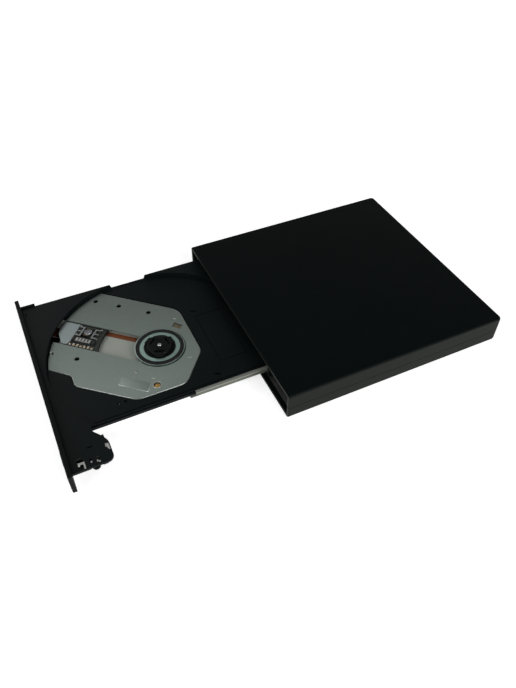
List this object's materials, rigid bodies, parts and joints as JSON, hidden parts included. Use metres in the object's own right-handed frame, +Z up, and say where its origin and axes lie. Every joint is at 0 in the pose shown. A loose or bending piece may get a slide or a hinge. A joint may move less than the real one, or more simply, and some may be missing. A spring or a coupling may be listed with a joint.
{
  "type": "external disc drive",
  "caption": "Slim external disc drive: a flat case with its slide-out tray open on the spindle, the laser pickup on its rods and the latch.",
  "frame": {"origin": "middle of the case's flat underside; the rubber feet stand 0.6 mm below it", "axes": "+Z up through the case's top, +Y towards its back where the sockets are, -Y the way the tray opens, +X to the right seen from the tray's front"},
  "size_m": [0.133, 0.2432, 0.0173],
  "materials": {
    "case_plastic": "fine-textured satin black moulding",
    "foot_rubber": "matt",
    "screw_steel": "plated",
    "black_screw": "blackened",
    "pan_steel": "plain zinc-plated sheet",
    "cover_steel": "plain zinc-plated sheet",
    "board_green": "solder-resist green",
    "chip_black": "moulded",
    "connector_plastic": "moulded",
    "socket_steel": "bright-plated",
    "jack_plastic": "moulded",
    "ribbon_film": "laminated film",
    "guide_plastic": "moulded",
    "rail_steel": "rolled and plated",
    "tray_plastic": "satin black moulding",
    "bezel_plastic": "fine-textured black moulding",
    "button_plastic": "moulded",
    "lamp_plastic": "clear moulding",
    "traverse_steel": "satin-plated sheet",
    "frame_zinc": "die-cast",
    "shield_steel": "thin plated sheet",
    "damper_rubber": "soft",
    "rod_steel": "ground and polished",
    "motor_steel": "plated",
    "flex_film": "amber film",
    "turntable_steel": "turned",
    "pad_rubber": "matt",
    "hub_plastic": "moulded",
    "shaft_steel": "ground",
    "sled_zinc": "die-cast",
    "contact_brass": "tinned",
    "magnet_steel": "plated",
    "holder_plastic": "moulded",
    "lens_glass": "coated",
    "solenoid_steel": "plated",
    "strip_steel": "bright strip",
    "spring_steel": "wound wire"
  },
  "bodies": {
    "case": {"top_shell": "case_plastic", "bottom_shell": "case_plastic", "rubber_feet": "foot_rubber", "case_screws": "black_screw", "drive_screws": "black_screw", "drive_chassis": "pan_steel", "drive_top_cover": "cover_steel", "cover_screws": "screw_steel", "main_board": "board_green", "main_chips": "chip_black", "drive_connector": "connector_plastic", "tray_ribbon": "ribbon_film", "latch_catch": "pan_steel", "rail_guide_right": "guide_plastic", "rail_guide_left": "guide_plastic", "ejector_housing": "guide_plastic", "ejector_spring": "spring_steel", "bridge_board": "board_green", "bridge_chip": "chip_black", "bridge_connector": "connector_plastic", "usb_socket": "socket_steel", "power_jack": "jack_plastic"},
    "right_rail": {"slide_rail_right": "rail_steel"},
    "left_rail": {"slide_rail_left": "rail_steel"},
    "ejector": {"ejector_pusher": "guide_plastic"},
    "tray_unit": {"tray": "tray_plastic", "bezel": "bezel_plastic", "lamp_pipe": "lamp_plastic", "lobe_board": "board_green", "latch_solenoid": "solenoid_steel", "latch_plates": "strip_steel", "tray_shield": "shield_steel", "shield_screws": "screw_steel", "traverse_base": "frame_zinc", "traverse_cover": "traverse_steel", "rubber_dampers": "damper_rubber", "traverse_screws": "screw_steel", "guide_rods": "rod_steel", "sled_motor": "motor_steel", "pickup_flex": "flex_film", "spindle_motor": "motor_steel"},
    "eject_key": {"eject_button": "button_plastic"},
    "latch": {"latch_lever": "guide_plastic"},
    "spindle": {"turntable": "turntable_steel", "turntable_pad": "pad_rubber", "spindle_hub": "hub_plastic", "spindle_shaft": "shaft_steel"},
    "claw_1": {"hub_claw_1": "hub_plastic"},
    "claw_2": {"hub_claw_2": "hub_plastic"},
    "claw_3": {"hub_claw_3": "hub_plastic"},
    "sled_screw": {"lead_screw": "rod_steel"},
    "pickup": {"pickup_sled": "sled_zinc", "pickup_cover": "traverse_steel", "pickup_contacts": "contact_brass", "actuator_frame": "magnet_steel", "laser_diode": "magnet_steel"},
    "lens_unit": {"lens_holder": "holder_plastic", "objective_lens": "lens_glass"}
  },
  "joints": [
    {"name": "tray_slide", "type": "slide", "parent": "case", "child": "tray_unit", "axis": [0, 1, 0], "range_m": [0, 0.1091]},
    {"name": "right_rail_slide", "type": "slide", "parent": "case", "child": "right_rail", "axis": [0, 1, 0], "range_m": [0, 0.05456]},
    {"name": "left_rail_slide", "type": "slide", "parent": "case", "child": "left_rail", "axis": [0, 1, 0], "range_m": [0, 0.05456]},
    {"name": "ejector_push", "type": "slide", "parent": "case", "child": "ejector", "axis": [0, 1, 0], "range_m": [0, 0.01001]},
    {"name": "button_press", "type": "slide", "parent": "tray_unit", "child": "eject_key", "axis": [0, 1, 0], "range_m": [0, 0.0005], "stiffness_N_per_m": 600},
    {"name": "latch_turn", "type": "hinge", "parent": "tray_unit", "child": "latch", "pos_m": [0.052, -0.1652, 0.007], "axis": [0, 0, 1], "range_deg": [0, 12], "stiffness_Nm_per_rad": 0.002},
    {"name": "turntable_spin", "type": "hinge", "parent": "tray_unit", "child": "spindle", "pos_m": [-0.0019, -0.1108, 0.0065], "axis": [0, 0, 1], "continuous": true},
    {"name": "claw_1_press", "type": "slide", "parent": "spindle", "child": "claw_1", "axis": [-0.9397, 0.342, 0], "range_m": [0, 0.001], "stiffness_N_per_m": 300},
    {"name": "claw_2_press", "type": "slide", "parent": "spindle", "child": "claw_2", "axis": [0.1736, -0.9848, 0], "range_m": [0, 0.001], "stiffness_N_per_m": 300},
    {"name": "claw_3_press", "type": "slide", "parent": "spindle", "child": "claw_3", "axis": [0.766, 0.6428, 0], "range_m": [0, 0.001], "stiffness_N_per_m": 300},
    {"name": "pickup_slide", "type": "slide", "parent": "tray_unit", "child": "pickup", "axis": [-0.6613, -0.7501, 0], "range_m": [-0.019, 0.015]},
    {"name": "lead_screw_turn", "type": "hinge", "parent": "tray_unit", "child": "sled_screw", "pos_m": [-0.00779, -0.1456, 0.0049], "axis": [-0.6613, -0.7501, 0], "continuous": true},
    {"name": "lens_focus", "type": "slide", "parent": "pickup", "child": "lens_unit", "axis": [0, 0, 1], "range_m": [-0.0004, 0.0004], "stiffness_N_per_m": 60}
  ],
  "couplings": [
    {"joint": "right_rail_slide", "follows": "tray_slide", "ratio": 0.5},
    {"joint": "left_rail_slide", "follows": "tray_slide", "ratio": 0.5},
    {"joint": "ejector_push", "follows": "tray_slide", "ratio": 0.091659},
    {"joint": "lead_screw_turn", "follows": "pickup_slide", "rad_per_m": 2094.4}
  ]
}
